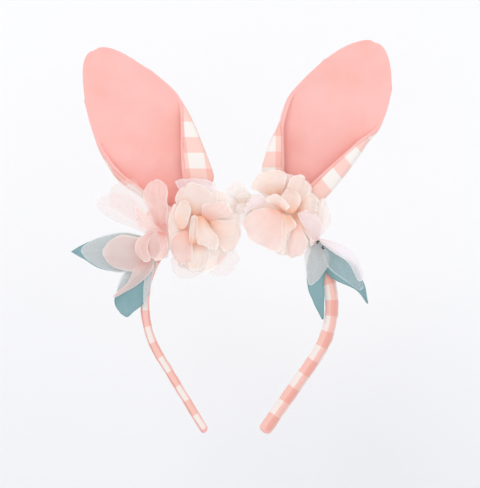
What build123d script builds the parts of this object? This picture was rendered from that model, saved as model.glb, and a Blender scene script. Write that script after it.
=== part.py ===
"""Rabbit-ears costume headband, in millimetres.

A springy U-shaped plastic core sits in a gingham fabric sleeve. Two stuffed fabric ears are sewn
to the top of the band, and chiffon flowers, organza petals and fabric leaves are sewn to felt
pads on its front edge.

The frame is the headband as it is worn. +Z points up towards the ears, +X to the right as seen
from the front and +Y to the back of the head. The origin is the centre of the round crown, half
way across the band's width, so the crown's inner face is a cylinder about the Y axis.
"""

import os
from math import cos, degrees, radians, sin

from build123d import *

os.makedirs("parts", exist_ok=True)

# Band
crown_inner_radius = 54.5
sleeve_thickness = 5.0
band_width = 11.0
sleeve_wall = 1.4
sleeve_corner = 1.5
core_clearance = 0.1
core_corner = 0.6
hinge_angle = 58.0  # from the top of the crown to where each leg starts to flex
flex_gap = 1.2  # left open between crown and leg, so that the leg can swing
arc_end_angle = {"left": 121.1, "right": 124.9}  # where each straight leg begins, as the band rests
leg_straight = 53.0
tip_length = 1.6
tip_taper = 35.0
leg_twist = {"left": 5.0, "right": 15.0}
core_end_clearance = 2.0

# Ears
ear_angle = 30.0  # from the top of the crown to each ear's foot
foot_thickness = 1.0
foot_width = 8.0
foot_half_angle = 7.0
ear_hinge_clearance = 0.4  # from the foot's top up to the fold line
ear_lean = {"left": -25.0, "right": 22.6}  # from upright, positive to the right
panel_thickness = 0.4
stiffener_thickness = 1.0
layer_gap = 0.1
fold_bevel = 1.4
fold_centre = 1.2  # the fold line runs this far in front of the back panel's middle

# Sewn-on trim
felt_thickness = 1.2
chiffon_thickness = 0.7
petal_hub_radius = 3.5
bowl_hollow = 0.35  # how high a petal stands half way out, as a share of its full rise
organza_thickness = 0.4
leaf_thickness = 0.6

crown_outer_radius = crown_inner_radius + sleeve_thickness
crown_mid_radius = crown_inner_radius + sleeve_thickness / 2
core_thickness = sleeve_thickness - 2 * (sleeve_wall + core_clearance)
core_width = band_width - 2 * (sleeve_wall + core_clearance)
gap_angle = degrees(flex_gap / 2 / crown_mid_radius)
front_face = -band_width / 2
pad_front = front_face - felt_thickness


def save(builder, label):
    """Labels a finished piece and writes it as its own STEP file."""
    builder.part.label = label
    export_step(builder.part, f"parts/{label}.step")


def on_circle(radius, angle, y=0.0):
    """A point at an angle from the top of the crown, positive to the right."""
    return (radius * sin(radians(angle)), y, radius * cos(radians(angle)))


# ---------------------------------------------------------------- band


def band_plane(angle):
    """The band's cross-section plane: local x points out of the crown, local y to the front."""
    a = radians(angle)
    return Plane(on_circle(crown_mid_radius, angle), (sin(a), 0, cos(a)), (cos(a), 0, -sin(a)))


def band_section(plane, thickness, width, corner):
    """A rounded cross-section of the band."""
    with BuildSketch(plane) as section:
        RectangleRounded(thickness, width, corner)
    return section.sketch


def crown_stretch(thickness, width, corner, mode=Mode.ADD):
    """The round middle of the band, between the two flexing places."""
    start = gap_angle - hinge_angle
    revolve(band_section(band_plane(start), thickness, width, corner), Axis.Y, -2 * start, mode=mode)


def leg_stretch(side, thickness, width, corner, length, mode=Mode.ADD):
    """The round and the straight part of a leg, as a right leg. Returns the plane at its tip."""
    start = hinge_angle + gap_angle
    arc_end = band_plane(arc_end_angle[side])
    tip = arc_end.offset(length).rotated((0, 0, leg_twist[side]))
    first = band_section(band_plane(start), thickness, width, corner)
    revolve(first, Axis.Y, arc_end_angle[side] - start, mode=mode)
    ends = [band_section(plane, thickness, width, corner) for plane in (arc_end, tip)]
    loft(ends, ruled=True, mode=mode)
    return tip


cavity = (sleeve_thickness - 2 * sleeve_wall, band_width - 2 * sleeve_wall, core_corner + core_clearance)
sleeve = (sleeve_thickness, band_width, sleeve_corner)
core = (core_thickness, core_width, core_corner)

with BuildPart() as crown_sleeve:
    crown_stretch(*sleeve)
    crown_stretch(*cavity, mode=Mode.SUBTRACT)
save(crown_sleeve, "crown_sleeve")

with BuildPart() as crown_core:
    crown_stretch(*core)
save(crown_core, "crown_core")

for side in leg_twist:
    with BuildPart() as leg_sleeve:
        tip = leg_stretch(side, *sleeve, leg_straight)
        extrude(band_section(tip, *sleeve), amount=tip_length, taper=tip_taper)
        leg_stretch(side, *cavity, leg_straight - core_end_clearance, Mode.SUBTRACT)
        if side == "left":
            mirror(about=Plane.YZ, mode=Mode.REPLACE)
    save(leg_sleeve, f"leg_sleeve_{side}")

    with BuildPart() as leg_core:
        leg_stretch(side, *core, leg_straight - core_end_clearance - core_clearance)
        if side == "left":
            mirror(about=Plane.YZ, mode=Mode.REPLACE)
    save(leg_core, f"leg_core_{side}")


# ---------------------------------------------------------------- ears

hinge_radius = crown_outer_radius + foot_thickness + ear_hinge_clearance

# Each row is one height up the ear: height, left and right edge as seen from the front, how far
# the left and the right side are folded in over the front, and how far the folds stand forward.
ear_rows = {
    "left": [
        (3.2, -6.0, 6.5, 2.0, 2.2, 2.4),
        (10.5, -11.0, 18.5, 3.5, 9.0, 4.4),
        (20.0, -16.0, 24.8, 3.5, 15.0, 7.0),
        (32.5, -22.8, 26.3, 3.4, 15.5, 8.0),
        (46.0, -28.5, 27.8, 3.0, 9.5, 6.5),
        (60.5, -31.0, 27.2, 2.0, 3.5, 4.0),
        (76.0, -29.8, 22.4, 1.5, 1.6, 2.8),
        (90.5, -26.2, 15.8, 1.5, 1.5, 2.6),
        (104.0, -20.8, 8.6, 1.5, 1.5, 2.6),
        (111.5, -15.4, 3.2, 1.5, 1.5, 2.6),
        (115.0, -10.2, -2.6, 1.5, 1.5, 2.6),
    ],
    "right": [
        (3.2, -6.5, 6.0, 2.2, 2.0, 2.4),
        (10.5, -19.0, 10.5, 7.0, 6.0, 4.4),
        (22.0, -27.8, 16.0, 11.0, 13.0, 7.0),
        (34.5, -29.8, 20.4, 7.5, 15.8, 8.0),
        (48.5, -31.2, 22.8, 4.0, 11.0, 6.5),
        (63.5, -31.4, 25.2, 1.6, 6.0, 4.5),
        (79.0, -27.6, 27.0, 1.5, 1.8, 2.8),
        (93.0, -21.6, 26.4, 1.5, 1.5, 2.6),
        (104.5, -14.6, 21.6, 1.5, 1.5, 2.6),
        (111.5, -9.0, 15.2, 1.5, 1.5, 2.6),
        (115.0, -3.4, 8.4, 1.5, 1.5, 2.6),
    ],
}


def ear_frame(side):
    """An ear's own plane at its fold line: local x across, local y up the ear, z to the front."""
    angle = -ear_angle if side == "left" else ear_angle
    lean = radians(ear_lean[side])
    return Plane(on_circle(hinge_radius, angle), (cos(lean), 0, -sin(lean)), (0, -1, 0))


def folded_line(row):
    """The middle line of the ear's cloth at one height, from flap edge to flap edge."""
    _, left, right, left_flap, right_flap, depth = row
    points = [
        (left + fold_bevel + left_flap, depth),
        (left + fold_bevel, depth),
        (left, depth / 2),
        (left + fold_bevel, 0),
        (right - fold_bevel, 0),
        (right, depth / 2),
        (right - fold_bevel, depth),
        (right - fold_bevel - right_flap, depth),
    ]
    return [Vector(across, forward - fold_centre) for across, forward in points]


def shifted(points, distance):
    """The line moved sideways by a distance, with its corners kept sharp."""
    normals = []
    for start, end in zip(points, points[1:]):
        along = (end - start).normalized()
        normals.append(Vector(along.Y, -along.X))
    moved = [points[0] + normals[0] * distance]
    for corner, before, after in zip(points[1:], normals, normals[1:]):
        bisector = (before + after).normalized()
        moved.append(corner + bisector * (distance / bisector.dot(before)))
    moved.append(points[-1] + normals[-1] * distance)
    return moved


def ear_layer(side, near, far):
    """One layer of an ear, between two distances from the middle of its cloth."""
    frame = ear_frame(side)
    with BuildPart() as layer:
        for row in ear_rows[side]:
            line = folded_line(row)
            outline = shifted(line, near) + shifted(line, far)[::-1]
            level = Plane(frame.origin + frame.y_dir * row[0], frame.x_dir, -frame.y_dir)
            with BuildSketch(level):
                with BuildLine():
                    Polyline(*[(p.X, p.Y) for p in outline], close=True)
                make_face()
        loft(ruled=True)
    return layer


half_stiffener = stiffener_thickness / 2
inner_face = half_stiffener + layer_gap
outer_face = inner_face + panel_thickness
for side in ("left", "right"):
    save(ear_layer(side, -half_stiffener, half_stiffener), f"ear_{side}_stiffener")
    save(ear_layer(side, -outer_face, -inner_face), f"ear_{side}_front_panel")
    save(ear_layer(side, inner_face, outer_face), f"ear_{side}_back_panel")

    middle = -ear_angle if side == "left" else ear_angle
    start = band_plane(middle - foot_half_angle)
    with BuildPart() as foot:
        with BuildSketch(start):
            with Locations(((sleeve_thickness + foot_thickness) / 2, 0)):
                Rectangle(foot_thickness, foot_width)
        revolve(axis=Axis.Y, revolution_arc=2 * foot_half_angle)
    save(foot, f"ear_{side}_foot")


# ---------------------------------------------------------------- felt pads


def front_plane(centre, forward=pad_front):
    """A plane facing forward, with its local y pointing up."""
    across, up = centre
    return Plane((across, forward, up), (1, 0, 0), (0, -1, 0))


# Each pad's angle from the top of the crown, how far its centre lies outside the band's middle
# line, and its radius.
pads = {
    "left": (-23.63, -4.61, 8.0),
    "right": (27.24, -0.20, 6.5),
    "middle": (1.86, 4.53, 6.5),
    "rose": (-49.94, 0.49, 4.5),
    "leaves": (49.24, 0.43, 4.5),
}


def from_pad(pad, across=0.0, up=0.0):
    """A point given by its distance across and up from a pad's centre, seen from the front."""
    angle, outside, _ = pads[pad]
    x, _, z = on_circle(crown_mid_radius + outside, angle)
    return (x + across, z + up)


# Round felt pads glued to the front edge of the band, for flowers to be sewn to.
for name, (_, _, pad_radius) in pads.items():
    with BuildPart() as felt_pad:
        with BuildSketch(front_plane(from_pad(name), front_face)):
            Circle(pad_radius)
        extrude(amount=felt_thickness)
    save(felt_pad, f"felt_pad_{name}")


# ---------------------------------------------------------------- flowers


def side_plane(plane):
    """The section plane through a forward-facing plane's axis: its local y points forward."""
    return Plane(plane.origin, plane.x_dir, -plane.y_dir)


def petal_ring(label, plane, radius, rise, level, petals):
    """A ring of joined petals: a shallow bowl on a flat hub, notched between its petals."""
    lift = level * chiffon_thickness
    hub, rim = Vector(petal_hub_radius, lift), Vector(radius, lift + rise)
    belly = Vector((hub.X + rim.X) / 2, lift + rise * bowl_hollow)
    up = Vector(0, chiffon_thickness)
    with BuildPart() as ring:
        with BuildSketch(side_plane(plane)):
            with BuildLine():
                Line((0, lift), hub)
                ThreePointArc(hub, belly, rim)
                Line(rim, rim + up)
                ThreePointArc(rim + up, belly + up, hub + up)
                Line(hub + up, (0, lift + chiffon_thickness))
                Line((0, lift + chiffon_thickness), (0, lift))
            make_face()
        revolve(axis=Axis(plane.origin, plane.z_dir))
        with BuildSketch(plane):
            with PolarLocations(radius * 1.08, petals, start_angle=180 / petals):
                Circle(radius * 0.28)
        extrude(amount=lift + rise + 2 * chiffon_thickness, mode=Mode.SUBTRACT)
    save(ring, label)


def tuft(label, plane, radius, level):
    """The gathered tuft in a flower's middle."""
    with BuildPart() as middle:
        with BuildSketch(plane.offset(level * chiffon_thickness)):
            Circle(radius)
        extrude(amount=1.6 * radius)
        fillet(middle.faces().sort_by(Axis.Y)[0].edges(), radius * 0.6)
    save(middle, label)


def peony(name, centre, radius):
    """A chiffon peony: three rings of petals, each steeper than the one behind it, and a tuft."""
    plane = front_plane(centre)
    petal_ring(f"{name}_outer_petals", plane, radius, 8.5, 0, 7)
    petal_ring(f"{name}_middle_petals", plane, radius * 0.76, 11.5, 1, 6)
    petal_ring(f"{name}_inner_petals", plane, radius * 0.5, 13.0, 2, 5)
    tuft(f"{name}_tuft", plane, 3.3, 3)


peony("peony_left", from_pad("left"), 23.5)
peony("peony_right", from_pad("right", 1.0, 2.0), 24.5)

blossom_plane = front_plane(from_pad("middle", 0.5, 2.5))
petal_ring("blossom_outer_petals", blossom_plane, 9.0, 3.0, 0, 5)
petal_ring("blossom_inner_petals", blossom_plane, 5.8, 4.0, 1, 5)
tuft("blossom_tuft", blossom_plane, 2.0, 2)


# ---------------------------------------------------------------- single petals and leaves


def sewn_petal(label, pad, root, tip, width, forward, rise, thickness, pointed=False):
    """A cupped petal or leaf sewn to a pad. Its root and tip are given from the pad's centre, seen
    from the front. It starts some way in front of the pads and leans forward along an arc, which
    rises by the first amount half way along and by the second at the tip."""
    start, end = (front_plane(from_pad(pad, *place), pad_front - forward).origin for place in (root, tip))
    length = (end - start).length
    plane = Plane(start, end - start, (0, -1, 0))
    half, full = Vector(length / 2, rise[0]), Vector(length, rise[1])
    up = Vector(0, thickness)
    with BuildPart() as petal:
        with BuildSketch(side_plane(plane)):
            with BuildLine():
                ThreePointArc((0, 0), half, full)
                Line(full, full + up)
                ThreePointArc(full + up, half + up, up)
                Line(up, (0, 0))
            make_face()
        extrude(amount=width, both=True)
        with BuildSketch(plane) as outline:
            if pointed:
                with BuildLine():
                    ThreePointArc((0, 0), (length * 0.45, width / 2), (length, 0))
                    ThreePointArc((length, 0), (length * 0.45, -width / 2), (0, 0))
                make_face()
            else:
                with Locations((length / 2, 0)):
                    Ellipse(length / 2, width / 2)
        extrude(amount=2 * length, both=True, mode=Mode.INTERSECT)
    save(petal, label)


def leaf(label, pad, root, tip, width, forward, rise):
    """A pointed fabric leaf."""
    sewn_petal(label, pad, root, tip, width, forward, rise, leaf_thickness, pointed=True)


def organza(label, pad, root, tip, width, forward, rise):
    """A rounded organza petal."""
    sewn_petal(label, pad, root, tip, width, forward, rise, organza_thickness)


leaf("leaf_left_upper", "rose", (-4.0, 0.5), (-56.0, -4.0), 21.0, 0.0, (0.8, 2.0))
leaf("leaf_left_lower", "rose", (-2.5, -4.0), (-22.5, -43.5), 17.0, 0.7, (1.2, 3.0))
leaf("leaf_right_inner", "leaves", (0.5, -3.5), (7.5, -44.0), 13.0, 0.0, (0.6, 1.5))
leaf("leaf_right_outer", "leaves", (3.0, -3.0), (32.5, -36.5), 15.0, 0.7, (1.4, 3.0))

organza("organza_leaf_left", "rose", (-2.5, -4.0), (-23.0, -31.0), 18.0, 1.4, (2.3, 5.0))
organza("organza_leaf_inner", "leaves", (0.5, -3.5), (5.0, -27.5), 12.0, 1.4, (1.3, 3.0))
organza("organza_leaf_outer", "leaves", (3.0, -3.0), (29.5, -27.5), 15.0, 2.0, (2.8, 6.0))
organza("organza_far_left", "rose", (-4.0, 3.0), (-44.0, 29.0), 20.0, 1.9, (2.6, 7.0))
organza("organza_far_right", "leaves", (3.0, 3.0), (20.5, 16.5), 12.0, 2.5, (2.0, 4.5))
organza("organza_low_left", "left", (-5.0, -6.0), (-15.0, -36.0), 20.0, 0.0, (0.9, 3.0))
organza("organza_low_right", "left", (5.0, -6.0), (15.0, -36.0), 20.0, 0.5, (0.9, 3.0))
organza("organza_top_left", "left", (-4.5, 6.0), (-8.0, 29.0), 21.0, 0.0, (2.8, 7.5))
organza("organza_right", "right", (8.7, -1.6), (25.5, -9.5), 15.0, 2.1, (4.6, 10.5))

organza("rose_petal_low", "rose", (-2.5, -4.0), (-17.0, -35.0), 12.0, 2.4, (4.2, 7.5))
organza("rose_petal_wide", "rose", (-4.5, 0.0), (-37.0, -3.0), 20.0, 2.9, (4.6, 8.5))
organza("rose_petal_corner", "rose", (-2.5, 4.5), (-13.5, 24.0), 11.0, 3.4, (1.5, 4.2))
organza("rose_petal_loop", "rose", (-4.0, -1.5), (-16.0, -6.5), 12.0, 3.9, (3.2, 7.5))
organza("rose_petal_top", "rose", (-2.5, 3.5), (-6.0, 39.0), 12.0, 4.5, (2.9, 5.4))
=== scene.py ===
"""Looks for the rabbit-ears headband: gingham and lining cottons, chiffon peonies, organza petals
and sheer fabric leaves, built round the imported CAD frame. Lengths are millimetres until MM or
Mesh.build turns them into metres."""

import math
import random

import bpy
import numpy as np
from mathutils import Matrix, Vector, noise


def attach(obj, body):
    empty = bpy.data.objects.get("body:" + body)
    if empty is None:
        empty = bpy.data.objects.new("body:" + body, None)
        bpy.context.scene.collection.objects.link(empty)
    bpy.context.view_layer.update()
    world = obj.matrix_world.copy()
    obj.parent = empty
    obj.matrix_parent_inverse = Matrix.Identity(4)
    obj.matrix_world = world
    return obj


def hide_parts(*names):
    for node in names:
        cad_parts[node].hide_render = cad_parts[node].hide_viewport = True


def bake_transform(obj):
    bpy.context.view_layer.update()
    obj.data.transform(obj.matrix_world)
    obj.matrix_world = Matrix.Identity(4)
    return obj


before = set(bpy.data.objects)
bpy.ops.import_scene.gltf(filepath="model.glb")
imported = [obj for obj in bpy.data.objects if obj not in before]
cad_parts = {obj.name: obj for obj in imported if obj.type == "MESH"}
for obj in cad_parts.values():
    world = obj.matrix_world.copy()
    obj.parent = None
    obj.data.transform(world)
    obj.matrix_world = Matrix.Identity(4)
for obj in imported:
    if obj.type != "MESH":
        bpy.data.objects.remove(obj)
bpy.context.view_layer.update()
noise.seed_set(7)  # without it the vector noise differs in each run
MM = 0.001
CHECK = 20.0  # one white and one pink stripe of the gingham


# ---------------------------------------------------------------- materials


def srgb(red, green, blue):
    """A colour from 0 to 255 as the linear colour with alpha that shaders take."""
    return tuple((c / 255) ** 2.2 for c in (red, green, blue)) + (1.0,)


class Shader:
    """A material's node tree, with one call per node."""

    def __init__(self, name):
        self.material = bpy.data.materials.new(name)
        self.material.use_nodes = True
        self.tree = self.material.node_tree
        self.tree.nodes.clear()
        self.output = self.tree.nodes.new("ShaderNodeOutputMaterial")

    def add(self, kind, inputs=None, **settings):
        node = self.tree.nodes.new("ShaderNode" + kind)
        for name, value in settings.items():
            setattr(node, name, value)
        for name, value in (inputs or {}).items():
            socket = node.inputs[name]
            if isinstance(value, bpy.types.NodeSocket):
                self.tree.links.new(value, socket)
            else:
                socket.default_value = value
        return node

    def math(self, operation, a, b=0.0):
        return self.add("Math", {0: a, 1: b}, operation=operation).outputs[0]

    def ramp(self, value, low, high, low_out=0.0, high_out=1.0):
        """A smooth step of a value from one pair of limits to another."""
        names = {"Value": value, "From Min": low, "From Max": high}
        names |= {"To Min": low_out, "To Max": high_out}
        return self.add("MapRange", names, interpolation_type="SMOOTHSTEP").outputs[0]

    def mix(self, factor, a, b):
        node = self.add("Mix", {"Factor": factor}, data_type="RGBA")
        for index, value in ((6, a), (7, b)):
            if isinstance(value, bpy.types.NodeSocket):
                self.tree.links.new(value, node.inputs[index])
            else:
                node.inputs[index].default_value = value
        return node.outputs[2]

    def noise(self, scale, detail=2.0, vector=None):
        inputs = {"Scale": scale, "Detail": detail}
        if vector is not None:
            inputs["Vector"] = vector
        return self.add("TexNoise", inputs).outputs["Fac"]

    def attribute(self, name):
        return self.add("Attribute", attribute_name=name).outputs["Fac"]

    def finish(self, surface):
        self.tree.links.new(surface, self.output.inputs["Surface"])
        return self.material


def threads(shader, uv, count):
    """The height of a plain weave with that many threads to each repeat of the UV map."""
    split = shader.add("SeparateXYZ", {0: uv})
    turns = [shader.math("MULTIPLY", split.outputs[i], count * 2 * math.pi) for i in (0, 1)]
    waves = [shader.math("SINE", turn) for turn in turns]
    return shader.math("MULTIPLY", waves[0], waves[1])


def cotton(shader, colour, uv, sheen, bump=0.12):
    """A plain-woven cotton surface of that colour."""
    weave = threads(shader, uv, 48.0)
    rumple = shader.noise(240.0, 3.0, shader.add("TexCoord").outputs["Object"])
    height = shader.math("ADD", shader.math("MULTIPLY", weave, 0.5), rumple)
    normal = shader.add("Bump", {"Height": height, "Strength": bump, "Distance": 0.0004})
    roughness = shader.ramp(weave, -1.0, 1.0, 0.92, 0.78)
    names = {
        "Base Color": colour,
        "Roughness": roughness,
        "Normal": normal.outputs[0],
        "Sheen Weight": sheen,
        "Sheen Roughness": 0.45,
        "Specular IOR Level": 0.2,
    }
    return shader.add("BsdfPrincipled", names).outputs[0]


LINING = srgb(252, 190, 184)
# painted shade colour, mixed into the lining near the folds and at the ear's foot
LINING_SHADE = srgb(247, 142, 126)


def lining_colour(shader, uv):
    """Salmon cotton lining, uneven in tone, with painted shade near its folds and towards the ear's foot."""
    cloud = shader.noise(38.0, 3.0, shader.add("TexCoord").outputs["Object"])
    tone = shader.mix(shader.ramp(cloud, 0.35, 0.7), LINING, srgb(250, 182, 172))
    slub = shader.ramp(threads(shader, uv, 48.0), -1.0, 1.0, 0.0, 0.10)
    tone = shader.mix(slub, tone, srgb(255, 222, 214))
    # painted shade: the fold attribute darkens the lining towards the shade colour
    return shader.mix(shader.math("MULTIPLY", shader.attribute("fold"), 0.85), tone, LINING_SHADE)


def gingham_material(name, colours):
    """Pink and white gingham. Its UV map counts checks; rim is near 1 where the lining shows, and painted
    shade darkens a line along the sewn edges.
    """
    shader = Shader(name)
    uv = shader.add("UVMap", uv_map="weave").outputs[0]
    split = shader.add("SeparateXYZ", {0: uv})
    stripes = []
    for axis in (0, 1):
        phase = shader.math("FRACT", split.outputs[axis])
        wrapped = shader.math("ABSOLUTE", shader.math("SUBTRACT", phase, 0.25))
        nearest = shader.math("MINIMUM", wrapped, shader.math("SUBTRACT", 1.0, wrapped))
        stripes.append(shader.ramp(nearest, 0.262, 0.238))
    share = shader.math("MULTIPLY", shader.math("ADD", stripes[0], stripes[1]), 0.5)
    white, middle, deep = colours
    light = shader.mix(shader.math("MULTIPLY", share, 2.0), white, middle)
    colour = shader.mix(shader.ramp(share, 0.5, 1.0), light, deep)
    slub = shader.noise(60.0, 2.0, uv)
    colour = shader.mix(shader.ramp(slub, 0.3, 0.8, 0.0, 0.16), colour, srgb(255, 232, 224))
    colour = shader.mix(shader.attribute("rim"), colour, LINING)
    # painted shade: a darker line in the crease along the sewn edges
    colour = shader.mix(shader.attribute("seam"), colour, srgb(222, 140, 130))
    return shader.finish(cotton(shader, colour, uv, 0.25))


def lining_material(name):
    shader = Shader(name)
    uv = shader.add("UVMap", uv_map="weave").outputs[0]
    return shader.finish(cotton(shader, lining_colour(shader, uv), uv, 0.35))


def sheer_material(name, colour, deep, edge, cover, edge_cover, glow=0.5, grain=2600.0, speckle=0.03):
    """Chiffon or organza: part see-through cloth that glows where light comes through it. Its deep attribute
    is 1 at a petal's root, where the deep colour paints shade and glow, and its edge attribute is 1 at its
    hem, where the hem's own tone has a painted highlight."""
    colour, deep, edge = srgb(*colour), srgb(*deep), srgb(*edge)
    shader = Shader(name)
    place = shader.add("TexCoord").outputs["Object"]
    at_edge = shader.attribute("edge")
    # painted shade and glow: the petal darkens and warms towards its root
    tint = shader.mix(shader.attribute("deep"), colour, deep)
    cloud = shader.noise(90.0, 3.0, place)
    tint = shader.mix(shader.ramp(cloud, 0.3, 0.75, 0.0, 0.35), tint, edge)
    # the hem's colour: partly the rolled hem's own tone, partly a painted highlight
    tint = shader.mix(at_edge, tint, edge)
    fine = shader.noise(grain, 1.0, place)
    bump = shader.add("Bump", {"Height": fine, "Strength": 0.10, "Distance": 0.0002}).outputs[0]
    names = {
        "Base Color": tint,
        "Roughness": shader.ramp(fine, 0.2, 0.8, 0.55, 0.8),
        "Normal": bump,
        "Sheen Weight": 0.3,
        "Sheen Roughness": 0.3,
        "Specular IOR Level": 0.3,
    }
    face = shader.add("BsdfPrincipled", names).outputs[0]
    behind = shader.add("BsdfTranslucent", {"Color": tint, "Normal": bump}).outputs[0]
    cloth = shader.add("MixShader", {0: glow, 1: face, 2: behind}).outputs[0]
    solid = shader.ramp(at_edge, 0.0, 1.0, cover, edge_cover)
    solid = shader.math("ADD", solid, shader.ramp(fine, 0.2, 0.8, -speckle, speckle))
    solid = shader.add("Clamp", {"Value": solid}).outputs[0]
    clear = shader.add("BsdfTransparent").outputs[0]
    return shader.finish(shader.add("MixShader", {0: solid, 1: clear, 2: cloth}).outputs[0])


def felt_material(name, colour):
    shader = Shader(name)
    place = shader.add("TexCoord").outputs["Object"]
    fibre = shader.noise(1800.0, 4.0, place)
    tint = shader.mix(shader.ramp(fibre, 0.3, 0.7, 0.0, 0.3), colour, srgb(255, 250, 245))
    bump = shader.add("Bump", {"Height": fibre, "Strength": 0.5, "Distance": 0.0004}).outputs[0]
    names = {"Base Color": tint, "Roughness": 0.95, "Normal": bump, "Sheen Weight": 0.4}
    return shader.finish(shader.add("BsdfPrincipled", names).outputs[0])


def plastic_material(name, colour):
    shader = Shader(name)
    place = shader.add("TexCoord").outputs["Object"]
    haze = shader.noise(150.0, 2.0, place)
    names = {"Base Color": colour, "Roughness": shader.ramp(haze, 0.3, 0.7, 0.35, 0.5)}
    return shader.finish(shader.add("BsdfPrincipled", names).outputs[0])


GINGHAM = gingham_material(
    "gingham", (srgb(247, 242, 236), srgb(251, 208, 197), srgb(249, 186, 174))
)
# a darker copy of the ear gingham: painted shade on the band's sleeve
SHADED_BAND_GINGHAM = gingham_material(
    "band_gingham_shaded", (srgb(244, 232, 226), srgb(246, 192, 180), srgb(240, 168, 155))
)
LINING_COTTON = lining_material("lining")
FELT = felt_material("felt", srgb(244, 232, 224))
PLASTIC = plastic_material("core_plastic", srgb(226, 226, 224))
THREAD = felt_material("thread", srgb(236, 168, 158))
# near-black: a dark thing put where the leaves' base shows spots of shadow
SHADE_SPOT_WIRE = plastic_material("dark_spot_shade", srgb(38, 44, 42))
# Each sheer: its colour, the painted shade and glow at petal roots, the hem's colour with a painted highlight
# on the pale cloths, then how solid it is in the middle and at the hem.
PEACH = sheer_material(
    "peach_chiffon", (255, 236, 226), (255, 192, 156), (255, 254, 250),
    0.90, 0.97, glow=0.2,
)
PINK = sheer_material(
    "pink_chiffon", (255, 226, 218), (255, 188, 168), (255, 252, 248),
    0.90, 0.97, glow=0.2,
)
CREAM = sheer_material(
    "cream_chiffon", (255, 247, 243), (255, 232, 218), (255, 253, 250),
    0.78, 0.86, glow=0.4,
)
TEAL = sheer_material(
    "teal_chiffon", (134, 170, 176), (92, 134, 136), (96, 146, 146),
    0.97, 0.98, glow=0.15,
)
GREY = sheer_material(
    "grey_organza", (242, 239, 238), (216, 210, 212), (254, 254, 254),
    0.76, 0.9, glow=0.35, speckle=0.1,
)
MIST = sheer_material(
    "mist_organza", (214, 230, 232), (200, 206, 208), (252, 254, 254),
    0.46, 0.85, glow=0.35, speckle=0.1,
)
ROSE = sheer_material(
    "rose_organza", (255, 226, 219), (240, 156, 142), (255, 246, 242),
    0.80, 0.93, glow=0.3,
)
PALE = sheer_material(
    "pale_organza", (252, 228, 223), (246, 204, 192), (252, 232, 227),
    0.33, 0.24, speckle=0.0,
)
LILAC = sheer_material(
    "lilac_organza", (255, 245, 248), (250, 218, 220), (255, 253, 255),
    0.74, 0.92, glow=0.4,
)


# ---------------------------------------------------------------- mesh building


class Mesh:
    """Collects grids of points in millimetres, then makes one object of them."""

    def __init__(self):
        self.points, self.faces, self.uv = [], [], []
        self.values = {}

    def grid(self, points, uv=None, closed=False, **values):
        """Adds a grid of points, rows by columns. closed joins the last column to the first. A UV
        grid has one more column than a closed grid. Each value is one number for each point."""
        rows, columns = points.shape[:2]
        start = sum(len(p) for p in self.points)
        self.points.append(points.reshape(-1, 3))
        for name in ("edge", "deep", "fold", "rim", "seam"):
            value = np.broadcast_to(values.get(name, 0.0), (rows, columns)).ravel()
            self.values.setdefault(name, []).append(value)
        if uv is None:
            across, along = np.meshgrid(np.linspace(0, 1, columns + closed), np.linspace(0, 1, rows))
            uv = np.stack([across, along], axis=2)
        for row in range(rows - 1):
            for column in range(columns - 1 + closed):
                after = (column + 1) % columns
                corners = [(row, column), (row, after), (row + 1, after), (row + 1, column)]
                self.faces.append([start + r * columns + c for r, c in corners])
                for r, c in ((row, column), (row, column + 1), (row + 1, column + 1), (row + 1, column)):
                    self.uv.append(uv[r, c])
        return self

    def build(self, name, material):
        mesh = bpy.data.meshes.new(name)
        points = np.concatenate(self.points) * MM
        mesh.from_pydata(points.tolist(), [], self.faces)
        layer = mesh.uv_layers.new(name="weave")
        layer.data.foreach_set("uv", np.array(self.uv, float).ravel())
        for key, values in self.values.items():
            data = mesh.attributes.new(key, "FLOAT", "POINT").data
            data.foreach_set("value", np.clip(np.concatenate(values), 0, 1).astype(np.float32))
        mesh.shade_smooth()
        mesh.materials.append(material)
        made = bpy.data.objects.new(name, mesh)
        bpy.context.scene.collection.objects.link(made)
        return made


def rumple(points, scale, size, seed, weight=1.0):
    """Points pushed about by smooth noise: its wavelength and its size are in millimetres."""
    flat = points.reshape(-1, 3)
    shift = [noise.noise_vector(Vector(p / scale) + Vector((seed * 7.3, 0, seed))) for p in flat]
    return points + (np.array(shift).reshape(points.shape)) * size * np.asarray(weight)[..., None]


def smooth_curve(controls, count):
    """Evenly many points along a Catmull-Rom curve through the control rows."""
    controls = np.asarray(controls, float)
    padded = np.concatenate([[2 * controls[0] - controls[1]], controls, [2 * controls[-1] - controls[-2]]])
    places = np.linspace(0, len(controls) - 1 - 1e-9, count)
    index = places.astype(int)
    t = (places - index).reshape(-1, *([1] * (controls.ndim - 1)))
    a, b, c, d = (padded[index + i] for i in range(4))
    square, cube = 2 * a - 5 * b + 4 * c - d, 3 * b - a - 3 * c + d
    return 0.5 * (2 * b + (c - a) * t + square * t**2 + cube * t**3)


def normals_of(points):
    """A unit normal at each point of a grid."""
    along, across = np.gradient(points, axis=0), np.gradient(points, axis=1)
    normal = np.cross(across, along)
    return normal / np.maximum(np.linalg.norm(normal, axis=2, keepdims=True), 1e-9)


def declare_sheet(piece):
    """Returns the piece as it is."""
    return piece


# ---------------------------------------------------------------- band

MID_RADIUS, HALF_WIDE, HALF_THICK = 57.0, 5.5, 2.5
STRAIGHT = 53.0
HINGE_ANGLE = 58.0  # from the top of the crown
# For each leg: the angle where it runs straight, the degrees that its sleeve is turned to the
# front below the hinge and at the tip, how far it lies inward of the middle line there, and half
# its thickness there.
LEGS = {"left": (121.1, (2.0, 6.0), 0.0, 2.5), "right": (124.9, (18.0, 20.0), 1.9, 3.5)}


def smooth_step(value):
    value = min(1.0, max(0.0, value))
    return value * value * (3 - 2 * value)


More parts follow.
